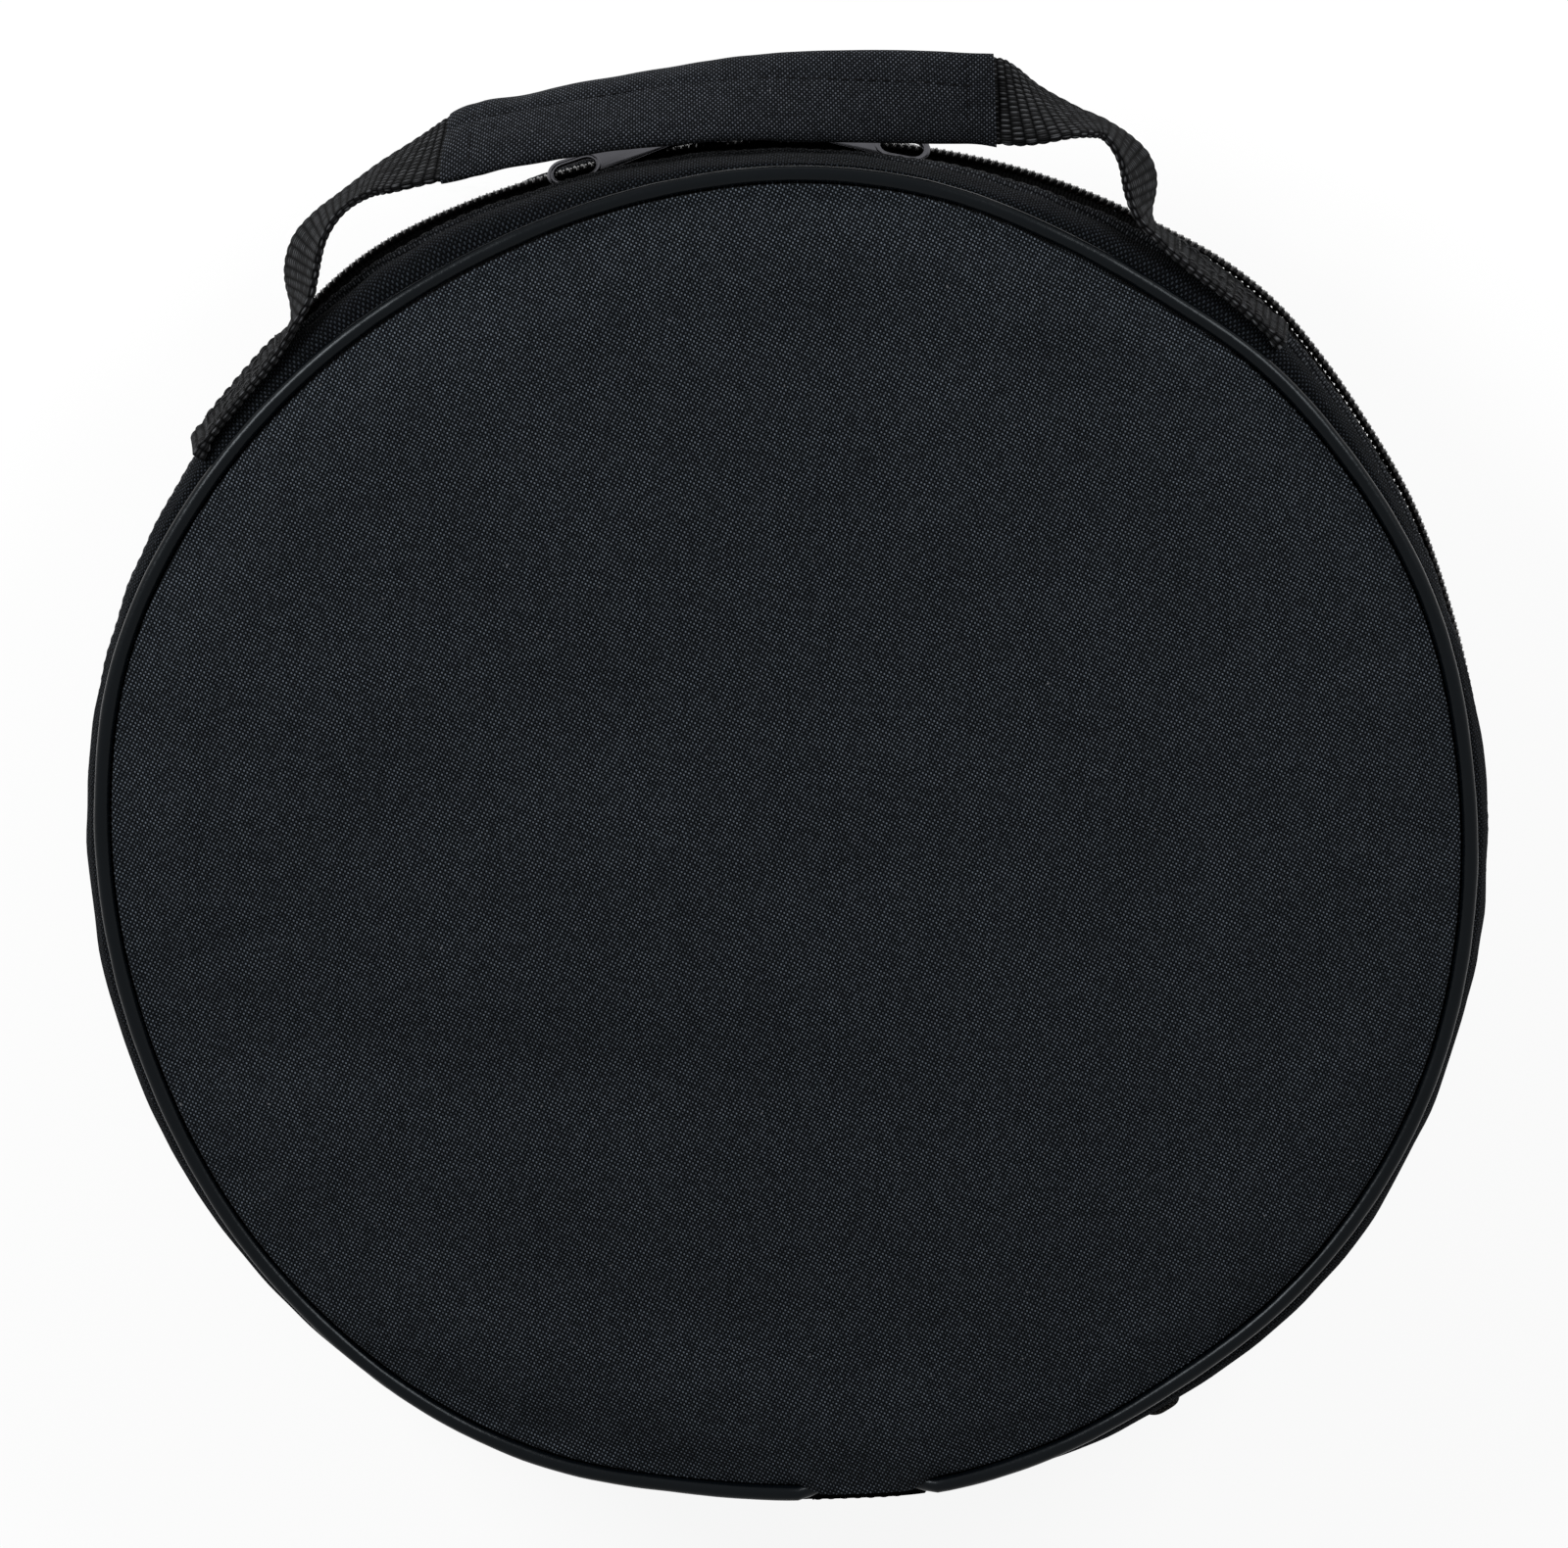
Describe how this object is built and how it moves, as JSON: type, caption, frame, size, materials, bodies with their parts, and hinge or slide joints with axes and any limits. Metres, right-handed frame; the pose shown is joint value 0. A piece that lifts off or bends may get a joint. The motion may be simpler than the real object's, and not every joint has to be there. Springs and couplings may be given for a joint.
{
  "type": "tambourine bag",
  "caption": "Round padded fabric bag for a tambourine, with piped edges, a two-way zip round the side, a fabric hinge and a sleeved webbing carry handle.",
  "frame": {"origin": "centre of the back panel's flat outer face, on which the bag lies", "axes": "+Z from the back panel to the front panel, +Y from the centre to the carry handle, +X to the right seen from the front"},
  "size_m": [0.3338, 0.3548, 0.064],
  "materials": {
    "outer_fabric": "black oxford nylon, matt basket weave",
    "gusset_fabric": "black oxford nylon, coarse weave",
    "lining_fabric": "thin black polyester lining",
    "foam": "dark polyethylene foam padding",
    "piping_vinyl": "black satin vinyl",
    "binding_tape": "black woven binding tape",
    "zip_tape": "black woven zip tape",
    "zip_coil": "glossy black-brown nylon coil",
    "zip_metal": "glossy black painted die casting",
    "webbing": "black ribbed polypropylene webbing"
  },
  "bodies": {
    "root": {"back_panel": "outer_fabric", "back_foam": "foam", "back_lining": "lining_fabric", "back_piping": "piping_vinyl", "back_binding": "binding_tape", "back_gusset": "gusset_fabric", "back_gusset_foam": "foam", "back_gusset_lining": "lining_fabric", "back_zip_tape": "zip_tape", "back_zip_coil": "zip_coil", "hinge_strip": "gusset_fabric", "hinge_patch": "webbing", "zip_end_tab_left": "gusset_fabric", "zip_end_tab_right": "gusset_fabric"},
    "lid": {"front_panel": "outer_fabric", "front_foam": "foam", "front_lining": "lining_fabric", "front_piping": "piping_vinyl", "front_binding": "binding_tape", "front_gusset": "gusset_fabric", "front_gusset_foam": "foam", "front_gusset_lining": "lining_fabric", "front_zip_tape": "zip_tape", "front_zip_coil": "zip_coil", "handle_end_left": "webbing", "handle_end_right": "webbing", "handle_twist_left": "webbing", "handle_twist_right": "webbing"},
    "slider_left": {"zip_slider_left": "zip_metal"},
    "slider_right": {"zip_slider_right": "zip_metal"},
    "pull_left": {"zip_pull_left": "zip_metal"},
    "pull_right": {"zip_pull_right": "zip_metal"},
    "handle": {"handle_strap": "webbing", "handle_pad_upper": "foam", "handle_pad_lower": "foam", "handle_sleeve": "outer_fabric"}
  },
  "joints": [
    {"name": "lid_hinge", "type": "hinge", "parent": "root", "child": "lid", "pos_m": [0, -0.1665, 0.032], "axis": [1, 0, 0], "range_deg": [0, 180], "deforming": ["hinge_strip", "hinge_patch"]},
    {"name": "slider_left_travel", "type": "hinge", "parent": "root", "child": "slider_left", "pos_m": [0, 0, 0.032], "axis": [0, 0, 1], "range_deg": [0, 148.5]},
    {"name": "slider_right_travel", "type": "hinge", "parent": "root", "child": "slider_right", "pos_m": [0, 0, 0.032], "axis": [0, 0, 1], "range_deg": [-144.5, 0]},
    {"name": "pull_left_swing", "type": "hinge", "parent": "slider_left", "child": "pull_left", "pos_m": [-0.00213, 0.17029, 0.032], "axis": [0, 0, -1], "range_deg": [0, 150]},
    {"name": "pull_right_swing", "type": "hinge", "parent": "slider_right", "child": "pull_right", "pos_m": [0.014, 0.16972, 0.032], "axis": [0, 0, 1], "range_deg": [0, 150]},
    {"name": "handle_swing", "type": "hinge", "parent": "lid", "child": "handle", "pos_m": [0, 0.13205, 0.0466], "axis": [1, 0, 0], "range_deg": [0, 120], "deforming": ["handle_twist_left", "handle_twist_right"]}
  ]
}
